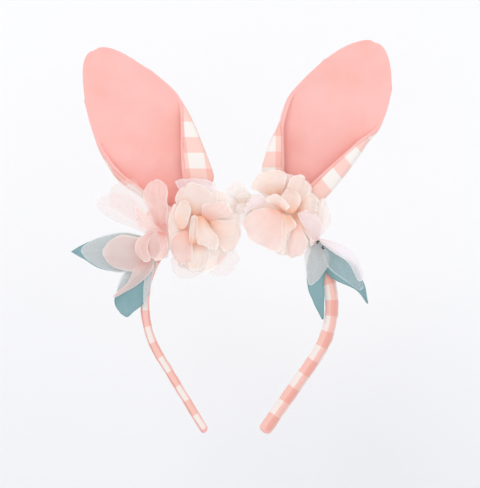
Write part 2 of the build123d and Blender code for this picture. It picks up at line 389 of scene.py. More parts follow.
def band_frame(side, distance):
    """A point on the band's middle line, built for the right: its place, its outward and forward
    directions, and half the sleeve's thickness there."""
    arc_angle, turns, inward, half = LEGS[side]
    arc_end = MID_RADIUS * math.radians(arc_angle)
    angle = min(distance, arc_end) / MID_RADIUS
    outward = np.array([math.sin(angle), 0.0, math.cos(angle)])
    onward = np.array([math.cos(angle), 0.0, -math.sin(angle)])
    forward = np.array([0.0, -1.0, 0.0])
    below = smooth_step((distance - 48.0) / 28.0)
    place = outward * (MID_RADIUS - inward * below) + onward * max(0.0, distance - arc_end)
    onto_tip = smooth_step((distance - arc_end) / STRAIGHT)
    turn = math.radians(turns[0] * below + (turns[1] - turns[0]) * onto_tip)
    turned = outward * math.cos(turn) + forward * math.sin(turn)
    facing = forward * math.cos(turn) - outward * math.sin(turn)
    return place, turned, facing, HALF_THICK + (half - HALF_THICK) * below


def hold_to_crown(piece):
    """Bakes a band piece's transform into its mesh."""
    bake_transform(piece)


def sleeve(side):
    """Half of the gingham sleeve, from the top of the crown to the rounded tip of one leg."""
    sign = -1 if side == "left" else 1
    end = MID_RADIUS * math.radians(LEGS[side][0]) + STRAIGHT
    tip = end - 1.0 + np.array([0.8, 1.5, 2.0, 2.4, 2.6])
    distances = np.concatenate([np.linspace(0, end - 1.0, 170), tip])
    shrink = np.concatenate([np.ones(170), [0.95, 0.82, 0.6, 0.32, 0.02]])
    around = np.linspace(0, 2 * math.pi, 57)
    across = np.sign(np.cos(around)) * np.abs(np.cos(around)) ** 0.55
    facing = np.sign(np.sin(around)) * np.abs(np.sin(around)) ** 0.5
    outline = np.stack([across, facing * HALF_WIDE], axis=1)
    steps = np.linalg.norm(np.diff(outline * (HALF_THICK, 1.0), axis=0), axis=1)
    girth = np.concatenate([[0], np.cumsum(steps)])
    points = []
    for distance, size in zip(distances, shrink):
        place, outward, forward, half = band_frame(side, distance)
        gather = 1 - 0.03 * (0.5 + 0.5 * math.sin(distance * 0.9)) * size
        ring = outline * (half, 1.0) * size * gather
        points.append(place + ring[:, :1] * outward + ring[:, 1:] * forward)
    points = np.array(points)
    points = rumple(points, 5.0, 0.28, 3 if side == "left" else 8)
    points[..., 0] *= sign
    # u is measured from the middle of the front edge, positive to the outside
    front = np.interp(math.pi / 2, around, girth)
    u = front - girth
    # painted shade: a darker line along the sewn joint down the left leg
    seam = np.exp(-((u - 1.65) ** 2) / 0.07) * (side == "left") * 0.8
    if side == "left":
        u = np.sign(u) * np.where(np.abs(u) < 1.7, np.abs(u) * 5 / 1.7, np.abs(u) + 3.3)
        u, start = (u - 5.0) / CHECK, 12.5
    else:
        u, start = np.where(u > 0.6, (u - 0.6) * 0.7, u - 0.6) / CHECK, 6.2
    v = (distances - start) / CHECK
    uv = np.stack(np.meshgrid(u, v), axis=2)
    rim = np.clip((distances - end + 1.4) / 0.8, 0, 1)[:, None]
    if sign < 0:
        points, uv, seam = points[:, ::-1], uv[:, ::-1], seam[::-1]
    piece = Mesh().grid(points, uv, seam=seam, rim=rim).build(f"sleeve_{side}", SHADED_BAND_GINGHAM)
    hold_to_crown(piece)
    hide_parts(f"leg_sleeve_{side}", *(["crown_sleeve"] if side == "left" else []))
    return declare_sheet(piece)


def leg_core(side):
    """The springy plastic strip inside one leg of the sleeve."""
    sign = -1 if side == "left" else 1
    start = MID_RADIUS * math.radians(HINGE_ANGLE) + 0.7
    end = MID_RADIUS * math.radians(LEGS[side][0]) + STRAIGHT - 2.2
    corner = 0.35 * np.array([math.cos(math.radians(a)) for a in (0, 45, 90)])
    quarter = [(0.65 + corner[i], 3.65 + corner[2 - i]) for i in range(3)]
    outline = quarter + [(-a, b) for a, b in quarter[::-1]]
    outline += [(-a, -b) for a, b in quarter] + [(a, -b) for a, b in quarter[::-1]]
    rings = []
    for distance in np.concatenate([[start], np.linspace(start, end, 90), [end]]):
        place, outward, forward, _ = band_frame(side, distance)
        rings.append([place + a * outward + b * forward for a, b in outline])
    points = np.array(rings)
    for ring in (0, -1):
        points[ring] = points[ring].mean(axis=0)
    points[..., 0] *= sign
    piece = Mesh().grid(points[:, ::sign], closed=True).build(f"core_{side}", PLASTIC)
    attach(piece, f"leg_{side}")
    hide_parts(f"leg_core_{side}")


for side in ("left", "right"):
    sleeve(side)
    leg_core(side)
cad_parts["crown_core"].data.materials.clear()
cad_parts["crown_core"].data.materials.append(PLASTIC)


# ---------------------------------------------------------------- ears

HINGE_RADIUS = 60.9
EAR_ANGLE = 30.0
FOLD_CENTRE = 1.2  # the fold line runs this far in front of the back panel's middle
LEAN = {"left": -25.0, "right": 22.6}

# Each row is one height up the ear: height, left and right edge as seen from the front, how far the
# left and the right side are folded in over the front, and how far those folds stand forward.
EAR_ROWS = {
    "left": [
        (-0.4, -4.5, 5.0, 2.6, 2.8, 2.2),
        (4.0, -6.2, 8.8, 3.0, 5.5, 2.8),
        (10.5, -11.2, 17.6, 2.8, 12.0, 4.4),
        (16.0, -15.4, 22.6, 2.6, 16.4, 5.6),
        (26.0, -21.6, 23.9, 2.8, 15.0, 6.4),
        (38.0, -28.0, 24.5, 2.6, 10.8, 6.0),
        (47.0, -29.8, 25.0, 1.2, 7.2, 4.6),
        (58.0, -30.8, 24.8, 0.0, 2.4, 2.8),
        (64.5, -30.8, 24.5, 0.0, 0.0, 1.0),
        (71.0, -30.4, 23.9, 0.0, 0.0, 0.5),
        (79.0, -29.3, 21.0, 0.0, 0.0, 0.4),
        (87.0, -27.6, 16.9, 0.0, 0.0, 0.4),
        (95.5, -25.0, 12.0, 0.0, 0.0, 0.4),
        (104.0, -21.6, 6.3, 0.0, 0.0, 0.4),
        (110.0, -18.3, 1.4, 0.0, 0.0, 0.3),
        (113.6, -15.0, -3.0, 0.0, 0.0, 0.2),
        (115.2, -11.6, -6.8, 0.0, 0.0, 0.1),
    ],
    "right": [
        (-0.4, -5.0, 4.5, 2.8, 2.6, 2.2),
        (4.0, -9.6, 6.5, 6.0, 3.0, 2.8),
        (10.5, -18.6, 10.4, 10.5, 6.5, 4.4),
        (19.0, -25.4, 14.0, 11.6, 10.6, 5.8),
        (28.5, -27.4, 17.0, 9.8, 9.8, 6.4),
        (38.5, -27.6, 19.9, 5.6, 8.0, 6.2),
        (49.5, -27.4, 22.6, 1.0, 5.4, 5.2),
        (59.0, -28.0, 24.4, 0.0, 2.6, 3.2),
        (67.0, -28.0, 27.4, 0.0, 0.6, 1.2),
        (74.0, -26.2, 28.4, 0.0, 0.0, 0.5),
        (84.0, -22.4, 28.0, 0.0, 0.0, 0.4),
        (93.0, -18.0, 26.2, 0.0, 0.0, 0.4),
        (101.0, -13.4, 23.0, 0.0, 0.0, 0.4),
        (108.0, -7.8, 18.9, 0.0, 0.0, 0.4),
        (112.8, -2.6, 15.0, 0.0, 0.0, 0.3),
        (115.4, 1.2, 11.6, 0.0, 0.0, 0.2),
        (116.5, 4.2, 8.6, 0.0, 0.0, 0.1),
    ],
}


def ear_axes(side):
    """An ear's fold point and its across, up and forward directions."""
    angle = math.radians(-EAR_ANGLE if side == "left" else EAR_ANGLE)
    lean = math.radians(LEAN[side])
    foot = np.array([math.sin(angle), 0.0, math.cos(angle)]) * HINGE_RADIUS
    across = np.array([math.cos(lean), 0.0, -math.sin(lean)])
    up = np.array([math.sin(lean), 0.0, math.cos(lean)])
    return foot, across, up, np.array([0.0, -1.0, 0.0])


def ear_section(row):
    """The control points of the ear's cloth at one height, from flap to flap, across and forward."""
    _, left, right, left_flap, right_flap, depth = row
    wide = right - left
    bend = min(1.3, wide * 0.06)
    hollow = -min(1.4, wide * 0.03)
    return [
        (left + bend + left_flap, depth * 0.86),
        (left + bend + left_flap * 0.5, depth * 1.02),
        (left + bend * 0.8, depth * 0.92),
        (left, depth * 0.5),
        (left + bend * 0.8, depth * 0.08),
        (left + wide * 0.3, hollow),
        (left + wide * 0.7, hollow),
        (right - bend * 0.8, depth * 0.08),
        (right, depth * 0.5),
        (right - bend * 0.8, depth * 0.92),
        (right - bend - right_flap * 0.5, depth * 1.02),
        (right - bend - right_flap, depth * 0.86),
    ]


FOLDS = (3, 8)  # the section's control points that lie on the ear's outline


def checks(side, part, x, z):
    """Gingham coordinates of points on one ear, by place in the frame. Each flap has its own grain."""
    if part == "back":
        lean = math.radians(LEAN[side])
        u = x * math.cos(lean) - z * math.sin(lean)
        v = x * math.sin(lean) + z * math.cos(lean)
    elif side == "left":
        u = -(x + 33.2 + (z - 105.0) * 0.137)
        v = z - 90.9
    elif part == "left":
        u = x - 21.2
        v = z - 82.2
    else:
        along = -(x - 83.5) * 0.769 - (z - 106.4) * 0.638
        out = (x - 83.5) * 0.638 - (z - 106.4) * 0.769
        u = -(out + 0.8 - (along - 23.5) * 0.107)
        v = along - 27.8
    return np.stack([u / 19.4, v / 18.8], axis=-1)


def ear(side):
    """The pink lining and the gingham back of one ear, as two skins joined along the rim."""
    rows = smooth_curve(np.array(EAR_ROWS[side]), 120)
    foot, across, up, forward = ear_axes(side)
    columns = 111
    points = np.zeros((len(rows), columns, 3))
    for index, row in enumerate(rows):
        section = smooth_curve(ear_section(row), columns)
        ahead = (section[:, 1:] - FOLD_CENTRE) * forward
        points[index] = foot + section[:, :1] * across + row[0] * up + ahead
    places = np.linspace(0, 11, columns)
    rim_left = np.cumsum(np.linalg.norm(np.diff(points, axis=1, prepend=points[:, :1]), axis=2), axis=1)
    rim_right = rim_left[:, -1:] - rim_left
    rim_top = np.broadcast_to(rows[-1, 0] + 0.4 - rows[:, :1], rim_left.shape)
    to_rim = np.minimum(np.minimum(rim_left, rim_right), rim_top * 1.4)
    from_foot = np.clip((rows[:, :1] - 6.0) / 30.0, 0, 1)
    points[..., 1] = rumple(points, 21.0, 1.8, 5, np.clip(to_rim / 12, 0, 1) * from_foot)[..., 1]
    points[..., 1] = rumple(points, 9.0, 0.4, 2, np.clip(to_rim / 8, 0, 1) * from_foot)[..., 1]
    normal = normals_of(points)
    half = (0.18 + 0.72 * (1 - np.exp(-to_rim / 1.3)))[..., None]
    outward = normal if (normal[60, 55] @ forward) < 0 else -normal
    inner, outer = points - outward * half, points + outward * half

    # painted shade: the lining is darkened beside the folded flaps and towards the ear's foot, where shade
    # falls
    fold_place = np.array(FOLDS, float)
    left_flap, right_flap = rows[:, 3:4], rows[:, 4:5]
    near_left = np.exp(-np.abs(places - fold_place[0] - 0.9) / 0.8) * np.clip(left_flap / 5, 0, 1)
    near_right = np.exp(-np.abs(places - fold_place[1] + 0.9) / 0.8) * np.clip(right_flap / 8, 0, 1)
    low = np.clip(1 - (rows[:, :1] - 4) / 42, 0, 1) * 0.55
    shade = np.maximum(np.maximum(near_left, near_right) * 0.9, np.broadcast_to(low, near_left.shape))

    flat = np.broadcast_to(rows[:, :1], rim_left.shape)
    lining_uv = np.stack([(rim_left - rim_left[:, 55:56]) / CHECK, flat / CHECK], axis=-1)
    lining = Mesh().grid(inner, lining_uv, fold=shade).build(f"ear_{side}_lining", LINING_COTTON)

    reach = [1.7 + 2.0 * (1 - np.clip(flap / 2, 0, 1)) for flap in (left_flap, right_flap)]
    over = np.maximum(np.maximum(reach[0] - rim_left, reach[1] - rim_right), 2.7 - rim_top * 1.4)
    rim = np.clip(over / 0.5, 0, 1)
    folded = np.where(rim_left < rim_right, left_flap, right_flap)
    # painted shadow line on the gingham beside the rolled rim, where a flap is folded over
    seam = np.exp(-((to_rim - 2.0) ** 2) / 0.06) * 0.7 * np.clip(folded / 2, 0, 1)
    back = Mesh()
    folds = [0] + [int(round(p / 11 * (columns - 1))) for p in FOLDS] + [columns - 1]
    for part, first, last in zip(("left", "back", "right"), folds, folds[1:]):
        cut = slice(first, last + 1)
        uv = checks(side, part, outer[:, cut, 0], outer[:, cut, 2])
        back.grid(outer[:, cut], uv, rim=rim[:, cut], seam=seam[:, cut])
    for strip in ((inner[:, 0], outer[:, 0]), (inner[:, -1], outer[:, -1])):
        back.grid(np.stack(strip, axis=1), rim=1.0)
    back.grid(np.stack((inner[-1], outer[-1]), axis=1), rim=1.0)
    skin = back.build(f"ear_{side}_gingham", GINGHAM)

    for piece, node, slot in (
        (lining, "front_panel", "pink_cotton"),
        (skin, "back_panel", "gingham_cotton"),
    ):
        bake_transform(piece)
        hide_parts(f"ear_{side}_{node}")
        declare_sheet(piece)
    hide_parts(f"ear_{side}_stiffener")


def ear_foot(side):
    """The folded gingham strip that holds an ear, with its row of stitches."""
    sign = -1 if side == "left" else 1
    angles = np.radians(np.linspace(EAR_ANGLE - 7.0, EAR_ANGLE + 7.0, 25)) * sign
    places = np.linspace(-4.0, 4.0, 17)
    points = np.zeros((len(angles), len(places), 3))
    for row, angle in enumerate(angles):
        ends = min(1.0, 0.25 + 0.75 * min(row, len(angles) - 1 - row) / 2)
        for column, place in enumerate(places):
            crown = 1 - (abs(place) / 4.0) ** 6
            radius = 59.45 + 1.0 * crown * ends + 0.12 * math.sin(place * 3 + row)
            points[row, column] = (math.sin(angle) * radius, place, math.cos(angle) * radius)
    piece = Mesh().grid(points).build(f"ear_{side}_foot_strip", GINGHAM)
    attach(piece, "crown")
    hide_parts(f"ear_{side}_foot")
    stitches = Mesh()
    for angle in angles[2:-2:2]:
        for edge in (-3.1, 3.1):
            path = []
            for t in np.linspace(0, 1, 7):
                radius = 60.35 + 0.32 * math.sin(math.pi * t)
                turn = angle + sign * 0.008 * (t - 0.5)
                path.append((math.sin(turn) * radius, edge + 0.9 * (t - 0.5), math.cos(turn) * radius))
            stitches.grid(tube(np.array(path), 0.16), closed=True)
    thread = stitches.build(f"ear_{side}_stitches", THREAD)
    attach(thread, "crown")


def tube(path, radius, sides=8):
    """Rings of points round a path, pinched shut at both ends."""
    onward = np.gradient(path, axis=0)
    onward /= np.maximum(np.linalg.norm(onward, axis=1, keepdims=True), 1e-9)
    across = np.cross(onward, [0.3, 0.9, 0.2])
    across /= np.linalg.norm(across, axis=1, keepdims=True)
    other = np.cross(onward, across)
    size = np.ones(len(path))
    size[0] = size[-1] = 0.1
    turns = np.linspace(0, 2 * math.pi, sides, endpoint=False)
    ring = np.cos(turns)[None, :, None] * across[:, None] + np.sin(turns)[None, :, None] * other[:, None]
    return path[:, None] + ring * radius * size[:, None, None]


for side in ("left", "right"):
    ear(side)
    ear_foot(side)


# ---------------------------------------------------------------- petals

PAD_FRONT = -6.7
# Where the camera stands, in front of the band and above its centre.
VIEW_DISTANCE, VIEW_HEIGHT = 691.5, 36.6


def blending(places, count):
    """How much of each of count control points goes into each place of a Catmull-Rom curve."""
    places = np.clip(places, 0, 1) * (count - 1)
    index = np.minimum(places.astype(int), count - 2)
    t = places - index
    parts = (-t + 2 * t**2 - t**3, 2 - 5 * t**2 + 3 * t**3, t + 4 * t**2 - 3 * t**3, t**3 - t**2)
    weights = np.zeros((len(places), count + 2))
    for offset, part in enumerate(parts):
        np.add.at(weights, (np.arange(len(places)), index + offset), part / 2)
    inner = weights[:, 1:-1].copy()
    inner[:, 0] += 2 * weights[:, 0]
    inner[:, 1] -= weights[:, 0]
    inner[:, -1] += 2 * weights[:, -1]
    inner[:, -2] -= weights[:, -1]
    return inner


def cloth(controls, s, t):
    """Points on the smooth surface through rows of control points, each across, up and forward.
    Across and up are given as they look from the camera against the plane of the band."""
    controls = np.array(controls, float)
    down, along = blending(s.ravel(), len(controls)), blending(t.ravel(), controls.shape[1])
    net = np.einsum("ni,nj,ijk->nk", down, along, controls).reshape(*s.shape, 3)
    depth = PAD_FRONT - net[..., 2]
    shrink = 1 + depth / VIEW_DISTANCE
    return np.stack([net[..., 0] * shrink, depth, VIEW_HEIGHT + (net[..., 1] - VIEW_HEIGHT) * shrink], axis=2)


def patches(
    name, material, pad, *nets, nodes=None, slot=None,
    held="gathered", frill=0.9, hem=0.9, corner=0.11, fine=40,
):
    """Petals given by their control nets, root row first, as one piece of cloth; the pad argument is not
    used.
    stands for the CAD node of its own name unless nodes lists others, or is empty for none."""
    mesh = Mesh()
    for index, net in enumerate(nets):
        s, t = np.meshgrid(np.linspace(0, 1, fine), np.linspace(-1, 1, fine), indexing="ij")
        points = cloth(net, s * (1 - 0.55 * corner * t**4), 0.5 + 0.5 * t * (1 - corner * s**5))
        normal = normals_of(points)
        chance = random.Random(index * 13 + len(name))
        phase, pace = chance.uniform(0, 6.3), chance.uniform(5.0, 8.0)
        wave = np.sin(pace * t + phase) + 0.6 * np.sin(2.3 * pace * t + 2 * phase + 3 * s)
        points = points + normal * (wave * frill * s**3 * 0.6)[..., None]
        points = rumple(points, 6.5, frill, index + len(name), np.clip(s * 1.4, 0.1, 1))
        length = np.linalg.norm(np.diff(points, axis=0), axis=2).sum(axis=0).mean()
        width = np.linalg.norm(np.diff(points, axis=1), axis=2).sum(axis=1).max()
        to_hem = np.minimum((1 - s) * length, (1 - np.abs(t)) / 2 * width)
        # edge lightens the hem with a painted highlight, and deep darkens the root with painted shade
        edge = np.exp(-((to_hem / hem) ** 2)) * np.clip(s * 4, 0, 1)
        mesh.grid(points, edge=edge, deep=np.clip(1 - s * 1.8, 0, 1) ** 1.6)
    piece = mesh.build(f"{name}_cloth", material)
    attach(piece, "crown")
    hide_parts(*([name] if nodes is None else nodes))
    return declare_sheet(piece)


def peony(side, outer, middle, inner, heart):
    """A peony's three rings of petals and the tuft in its heart."""
    for ring, material, nets in (("outer", PEACH, outer), ("middle", PINK, middle), ("inner", PEACH, inner)):
        name = f"peony_{side}_{ring}"
        patches(name, material, side, *nets, nodes=[f"{name}_petals"])
    patches(f"peony_{side}_heart", PEACH, side, *heart, nodes=[f"peony_{side}_tuft"], frill=0.3)


LEAF = {"held": "stretched", "frill": 0.2, "corner": 0.0, "hem": 0.7}

# Control nets are (across, up, forward) in rows from a petal's root to its hem.
LEFT_TOP = [
    [(-29, 54, 4), (-27, 53, 5), (-24, 54, 4)],
    [(-38.5, 61, 4), (-28, 61, 8), (-16, 59, 5)],
    [(-38, 67, 3.5), (-28, 69, 7), (-13, 62, 4)],
    [(-35.8, 70.6, 3), (-26, 73.2, 5), (-11.8, 65, 3.5)],
]
LEFT_EDGE = [
    [(-33, 50, 3), (-32, 46, 3), (-31, 42, 3)],
    [(-38, 60, 5), (-39, 47, 6), (-36, 36, 4)],
    [(-40.5, 60.5, 4.5), (-43.4, 45, 5.5), (-38.5, 25.5, 3)],
]
LEFT_LOOP = [
    [(-37.5, 47, 7), (-35, 45.5, 7.5), (-33, 46, 7.5)],
    [(-39, 55, 8), (-34.5, 52, 6.2), (-31.2, 49.5, 9.5)],
    [(-37, 61, 8.5), (-33, 59.5, 7.5), (-29.2, 56, 11)],
    [(-35.5, 63.2, 8.5), (-32, 62.4, 9), (-29.6, 59.6, 10.5)],
]
LEFT_UPRIGHT = [
    [(-30.8, 37.2, 8), (-28.6, 36.6, 10), (-26.4, 38.8, 8.5)],
    [(-30.4, 45, 8.5), (-28, 45, 11.5), (-25.6, 46, 8.5)],
    [(-29.4, 53.4, 9), (-27.2, 54, 12), (-25, 53.2, 8.5)],
]
LEFT_SHOULDER = [
    [(-23, 53, 5.5), (-21, 52, 6), (-19, 51, 6)],
    [(-22.5, 59.5, 7), (-14, 56, 9), (-9, 52.5, 7)],
    [(-17.5, 61.5, 6), (-8, 61.5, 7.5), (-3.5, 54, 6)],
]
LEFT_RIGHT = [
    [(-20, 52, 5), (-18.5, 50.5, 5), (-17.5, 48, 5)],
    [(-11, 51, 5), (-10, 43, 7), (-14, 38, 5)],
    [(-1.6, 50, 3.5), (-1.2, 40, 5), (-9, 31, 4)],
    [(-0.8, 44, 3), (-2, 35.5, 4), (-11.8, 30.6, 3.5)],
]
LEFT_FRONT = [
    [(-26, 53, 8), (-23.5, 53.5, 8.5), (-21, 52, 8)],
    [(-26, 46, 8.5), (-21, 47, 10), (-16.5, 45, 8.5)],
    [(-26.5, 40, 8), (-19, 40.5, 11), (-13, 39, 8.5)],
    [(-26.5, 35.6, 7), (-19, 34.4, 9.5), (-12.8, 31.4, 7.5)],
]
LEFT_LOW = [
    [(-33.5, 45, 6), (-31.5, 44, 6.5), (-30, 42, 6)],
    [(-41, 41, 6), (-35, 36, 8.5), (-28.5, 35, 6.5)],
    [(-42, 33.5, 5), (-36.5, 27.5, 7), (-28, 28.5, 5.5)],
    [(-40.4, 29, 4), (-35.5, 24.4, 5.5), (-27.5, 25.6, 4.5)],
]
LEFT_BOTTOM = [
    [(-31, 38, 4), (-27, 37, 4.5), (-22, 38, 4)],
    [(-36, 31, 4), (-27, 30, 6), (-18, 33, 4.5)],
    [(-34, 23, 2.5), (-26.5, 20.8, 4.5), (-18, 25, 3)],
]
LEFT_BASE = [
    [
        [(-24, 49, 1), (-26, 47, 1.2), (-24, 45, 1)],
        [(-36, 60, 1.6), (-38, 47, 2.6), (-35, 34, 1.6)],
        [(-41.6, 60, 1.4), (-44, 46, 2.2), (-41, 28, 1.4)],
    ],
    [
        [(-26, 47, 1), (-23, 46, 1.2), (-20, 47, 1)],
        [(-38, 34, 1.8), (-22, 32, 3), (-8, 36, 1.8)],
        [(-38, 22, 1.2), (-22, 19.6, 2.4), (-7, 27, 1.2)],
    ],
    [
        [(-20, 45, 1), (-18, 47, 1.2), (-20, 49, 1)],
        [(-8, 33, 1.8), (-4.6, 46, 3), (-8, 60, 1.8)],
        [(-4, 31, 1.2), (1, 46, 2.4), (-2, 62, 1.2)],
    ],
    [
        [(-19, 48, 1), (-22, 50, 1.2), (-26, 48, 1)],
        [(-9, 60, 1.8), (-24, 64, 3), (-38, 58, 1.8)],
        [(-6, 66, 1.2), (-24, 73, 2.4), (-38, 68, 1.2)],
    ],
]
peony(
    "left",
    outer=[*LEFT_BASE, LEFT_TOP, LEFT_EDGE, LEFT_RIGHT, LEFT_BOTTOM],
    middle=[LEFT_LOW, LEFT_SHOULDER],
    inner=[LEFT_LOOP, LEFT_FRONT],
    heart=[LEFT_UPRIGHT],
)

RIGHT_TOP = [
    [(17.5, 66, 3), (20.5, 64.5, 4), (24, 66, 3)],
    [(11, 68, 5), (18, 73, 8), (27, 72, 5)],
    [(6.6, 69, 4), (14, 78, 6), (28.5, 77, 4)],
    [(6.4, 73.5, 3), (15.5, 81, 4.5), (27.5, 80.2, 3)],
]
RIGHT_CROWN = [
    [(29, 60, 4), (32, 58, 4.5), (35, 59, 4)],
    [(28, 70, 5), (34, 69, 8), (41, 66, 5)],
    [(29.5, 77, 3.5), (37, 77.8, 5.5), (42, 70, 4)],
]
RIGHT_SIDE = [
    [(34, 60, 4), (36, 57, 5), (36, 53, 4.5)],
    [(41, 67.5, 5), (42, 61, 8), (42.5, 53, 5.5)],
    [(45.8, 66.2, 3.5), (46.8, 60, 5), (45, 52, 4.5)],
]
RIGHT_CUP = [
    [(28, 55.5, 7), (31, 55, 7), (33.6, 56.5, 7)],
    [(24.6, 60, 10), (30, 60, 6.5), (36, 60.5, 9)],
    [(25, 65, 11), (30.5, 67.5, 7.5), (36.5, 64.5, 9.5)],
    [(27, 67.6, 10.5), (31, 69.6, 9), (35.4, 67, 9.5)],
]
RIGHT_FOLD = [
    [(22, 60, 7), (24.5, 58, 8), (27, 56.5, 8.5)],
    [(16.5, 62, 8.5), (22, 63, 10), (29, 57.8, 10.5)],
    [(15.6, 65, 8), (22.5, 66.4, 9.5), (31, 59, 10.5)],
]
RIGHT_WIDE = [
    [(22, 57, 6.5), (24, 56, 7), (25.5, 54, 8)],
    [(12, 58, 7), (17, 51, 9.5), (25.5, 46, 9)],
    [(3, 53.5, 5.5), (10.5, 42.5, 8.5), (25.6, 36, 9)],
    [(0, 49.5, 4), (8.6, 37.4, 6.5), (25, 29.8, 7.5)],
]
RIGHT_RIDGE = [
    [(25.4, 55, 8), (27.5, 54, 8.5), (30, 54, 7.5)],
    [(25.6, 48, 8.5), (28, 46, 10), (34, 48, 8)],
    [(25.4, 38, 9), (27.5, 39, 10.5), (30.5, 44, 8.5)],
    [(25.2, 30.2, 7.8), (27.4, 32, 9), (29.6, 40, 8)],
]
RIGHT_LOW = [
    [(31, 49, 6), (33, 48, 6.5), (36, 48.5, 6)],
    [(29.6, 42, 6.5), (34, 40, 8.5), (39.6, 41, 6.5)],
    [(28, 32, 5), (33, 30.5, 7), (41, 36, 5)],
    [(28, 29.6, 4), (33, 27.8, 5.5), (40.5, 33, 4.4)],
]
RIGHT_BASE = [
    [
        [(26, 54, 1), (24, 52, 1.2), (26, 50, 1)],
        [(12, 66, 1.6), (10, 54, 2.6), (14, 42, 1.6)],
        [(4.6, 66, 1.2), (2, 54, 2.2), (6, 41, 1.2)],
    ],
    [
        [(24, 51, 1), (27, 50, 1.2), (30, 51, 1)],
        [(12, 42, 1.8), (27, 36, 3), (40, 40, 1.8)],
        [(14, 35, 1.2), (28, 29.4, 2.4), (42, 34, 1.2)],
    ],
    [
        [(30, 50, 1), (32, 53, 1.2), (30, 56, 1)],
        [(42, 42, 1.8), (45, 54, 3), (42, 66, 1.8)],
        [(47, 42, 1.2), (50.6, 54, 2.4), (46, 67, 1.2)],
    ],
    [
        [(31, 54, 1), (28, 56, 1.2), (25, 54, 1)],
        [(43, 68, 1.8), (27, 72, 3), (11, 68, 1.8)],
        [(42, 74, 1.2), (26, 79, 2.4), (9, 76, 1.2)],
    ],
]
peony(
    "right",
    outer=[*RIGHT_BASE, RIGHT_TOP, RIGHT_CROWN, RIGHT_SIDE],
    middle=[RIGHT_LOW, RIGHT_WIDE],
    inner=[RIGHT_CUP, RIGHT_RIDGE],
    heart=[RIGHT_FOLD],
)

# The small pale flower, and the whitish organza petals laid over the peonies' edges.
BLOSSOM_OUTER = [
    [
        [(-1, 62, 1.5), (1, 62, 2), (3, 62, 1.5)],
        [(-8, 66, 2), (-3, 68, 4), (2, 69, 3)],
        [(-8.5, 71, 1), (-2, 74.5, 3), (4.5, 72, 2)],
    ],
    [
        [(-1, 62, 1.5), (-1, 60, 2), (-1, 58, 1.5)],
        [(-7, 65, 2.5), (-7, 60, 4), (-5, 55, 3)],
        [(-11, 65, 2), (-10, 59, 3.5), (-7, 53, 2.5)],
    ],
    [
        [(1, 60, 2), (2, 60, 2.5), (4, 60, 2)],
        [(-2, 55, 3), (1.5, 54, 5), (6, 56, 3)],
        [(-3.5, 49, 2), (1, 48, 4), (6, 50, 2)],
    ],
]
BLOSSOM_INNER = [
    [
        [(0, 62, 3), (1.5, 62, 3.5), (3, 62, 3)],
        [(-3, 66, 4), (1, 67, 5.5), (5, 66, 4)],
        [(-2, 70, 4), (1.5, 71.5, 5), (5.5, 69, 4)],
    ],
    [
        [(1, 60, 3), (2.5, 60, 3.5), (4, 60, 3)],
        [(-2, 59, 4.5), (2, 57.5, 6), (6, 60, 4.5)],
        [(-3, 56.5, 4), (1.6, 54.6, 5.5), (6, 57, 4)],
    ],
]
BLOSSOM_HEART = [
    [
        [(0, 61, 3), (2, 61, 4), (4, 62, 3)],
        [(-1.6, 64, 5), (2, 65, 6.5), (5.4, 64.5, 5)],
        [(-1.4, 66.6, 5.5), (2.4, 67.6, 6), (5.6, 66.4, 5.5)],
    ],
    [
        [(0.4, 62, 3), (2, 62, 4), (3.6, 62, 3)],
        [(-1.4, 60.4, 5), (2, 59.6, 6.5), (5, 60.6, 5)],
        [(-1.8, 58, 5.5), (2, 57, 6), (5.4, 58.4, 5.5)],
    ],
]
for label, node, nets in (
    ("outer", "blossom_outer_petals", BLOSSOM_OUTER),
    ("inner", "blossom_inner_petals", BLOSSOM_INNER),
    ("heart", "blossom_tuft", BLOSSOM_HEART),
):
    patches(f"blossom_{label}", CREAM, "middle", *nets, nodes=[node], frill=0.5)

patches("organza_top_left", LILAC, "left", [
    [(-29, 56, 1), (-26, 56, 1.5), (-23, 56, 1)],
    [(-36, 68, 2.5), (-27, 69, 4), (-16, 66, 2.5)],
    [(-41, 75.6, 4), (-28, 75.6, 4.5), (-12.5, 74, 3)],
], hem=1.0)
patches("organza_blossom", LILAC, "middle", [
    [(13.5, 60.5, 7), (14.6, 61, 7.2), (15.2, 62.2, 7)],
    [(5.5, 56.5, 8), (8.5, 61, 10), (13.4, 66.4, 8)],
    [(1.2, 52.6, 7), (4, 60.5, 9), (10.6, 68, 7.5)],
], nodes=[])
patches("organza_right", LILAC, "right", [
    [(44.5, 38.6, 5.5), (45.6, 38.6, 6), (46.8, 39.6, 5.5)],
    [(39, 46.5, 8), (43, 46.5, 10), (49.4, 45, 7.5)],
    [(35, 53.6, 8.5), (40.5, 54, 10.5), (48.6, 50.5, 7.5)],
    [(34.2, 55.8, 8.5), (39.6, 56.6, 9.5), (46.8, 52.8, 7.5)],
])
patches("organza_far_right", CREAM, "leaves", [
    [(44, 40, 1.5), (46, 41, 2), (47, 40, 1.5)],
    [(45, 55, 2.5), (49, 54, 4), (53, 46, 2.5)],
    [(46, 63, 2), (52, 62.6, 3), (56, 48.5, 2)],
], slot="pale_organza")
patches("organza_low_left", PALE, "left", [
    [(-32, 38, 0.4), (-28, 37, 0.6), (-24, 38, 0.4)],
    [(-41, 30, 0.8), (-33, 26, 2), (-23, 26, 1)],
    [(-42, 20, 0.8), (-34, 15.5, 1.5), (-23, 18, 0.8)],
])
patches("organza_low_right", PALE, "left", [
    [(-20, 40, 0.4), (-17, 40, 0.8), (-14, 41, 0.4)],
    [(-21, 29, 0.8), (-12, 29, 2), (-3, 34, 1)],
    [(-19, 18, 0.8), (-7, 18, 1.5), (1.5, 27, 0.8)],
])

